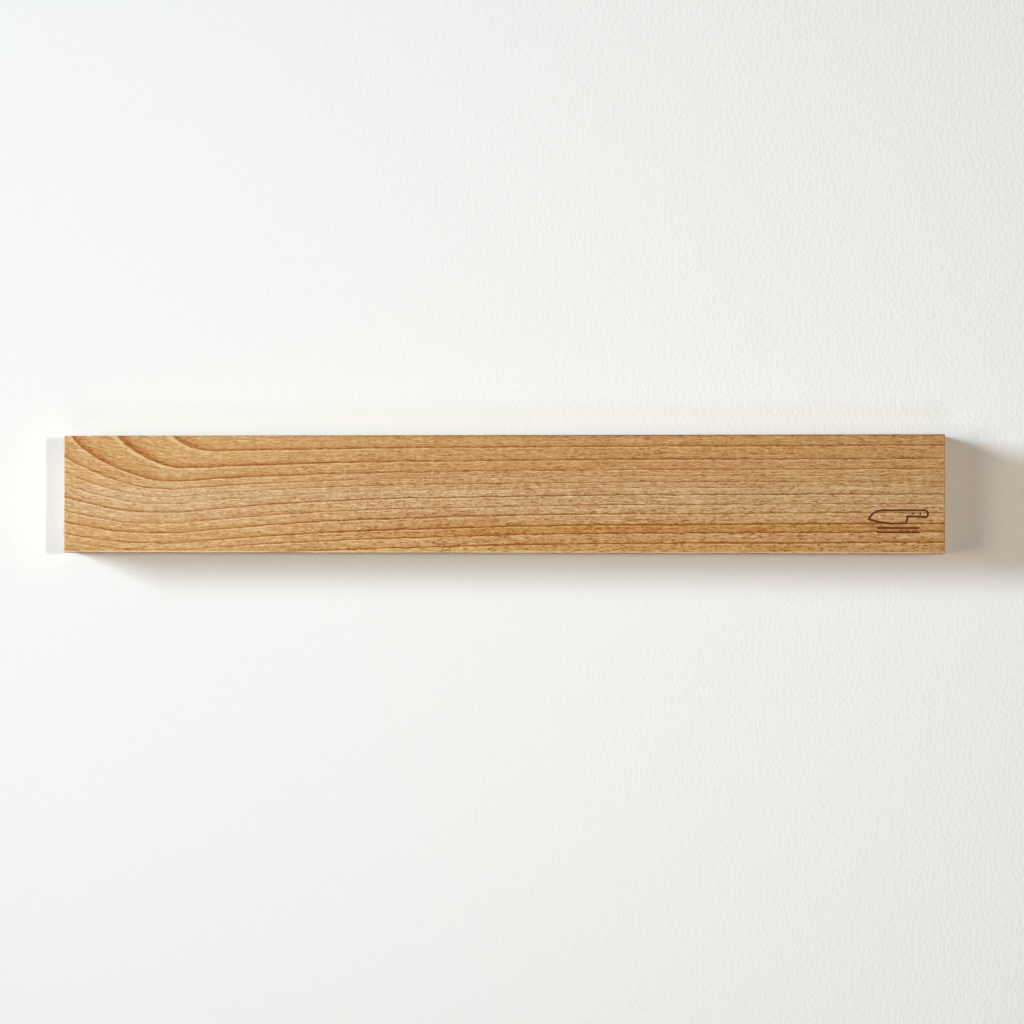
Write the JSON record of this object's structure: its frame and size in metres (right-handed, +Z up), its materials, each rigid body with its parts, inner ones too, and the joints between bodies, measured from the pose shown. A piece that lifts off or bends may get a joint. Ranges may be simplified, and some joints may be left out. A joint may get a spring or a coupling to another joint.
{
  "type": "magnetic knife rack",
  "caption": "Flat wooden wall bar whose hidden magnets hold knives by their blades; it hangs from keyhole plates let into its back.",
  "frame": {"origin": "centre of the back face, where the rack lies against the wall", "axes": "+X along the rack, to the right as seen from the front; +Y into the wall, so the front face looks along -Y; +Z up"},
  "size_m": [0.45, 0.025, 0.06],
  "materials": {
    "beech": "oiled, satin",
    "beech_strip": "sanded, unoiled",
    "magnet_nickel": "bright nickel plate",
    "yoke_steel": "mill finish",
    "zinc_plate": "bright zinc plate",
    "screw_zinc": "bright zinc plate"
  },
  "bodies": {
    "root": {"beech_board": "beech", "closing_strip": "beech_strip", "magnet_left_upper_1": "magnet_nickel", "magnet_left_upper_2": "magnet_nickel", "magnet_left_upper_3": "magnet_nickel", "magnet_left_upper_4": "magnet_nickel", "magnet_left_lower_1": "magnet_nickel", "magnet_left_lower_2": "magnet_nickel", "magnet_left_lower_3": "magnet_nickel", "magnet_left_lower_4": "magnet_nickel", "magnet_right_upper_1": "magnet_nickel", "magnet_right_upper_2": "magnet_nickel", "magnet_right_upper_3": "magnet_nickel", "magnet_right_upper_4": "magnet_nickel", "magnet_right_lower_1": "magnet_nickel", "magnet_right_lower_2": "magnet_nickel", "magnet_right_lower_3": "magnet_nickel", "magnet_right_lower_4": "magnet_nickel", "steel_yoke_left": "yoke_steel", "steel_yoke_right": "yoke_steel", "keyhole_plate_left": "zinc_plate", "keyhole_plate_right": "zinc_plate", "plate_screw_left_upper": "screw_zinc", "plate_screw_left_lower": "screw_zinc", "plate_screw_right_upper": "screw_zinc", "plate_screw_right_lower": "screw_zinc", "strip_screw_left_upper": "screw_zinc", "strip_screw_left_lower": "screw_zinc", "strip_screw_middle_upper": "screw_zinc", "strip_screw_middle_lower": "screw_zinc", "strip_screw_right_upper": "screw_zinc", "strip_screw_right_lower": "screw_zinc"}
  },
  "joints": []
}
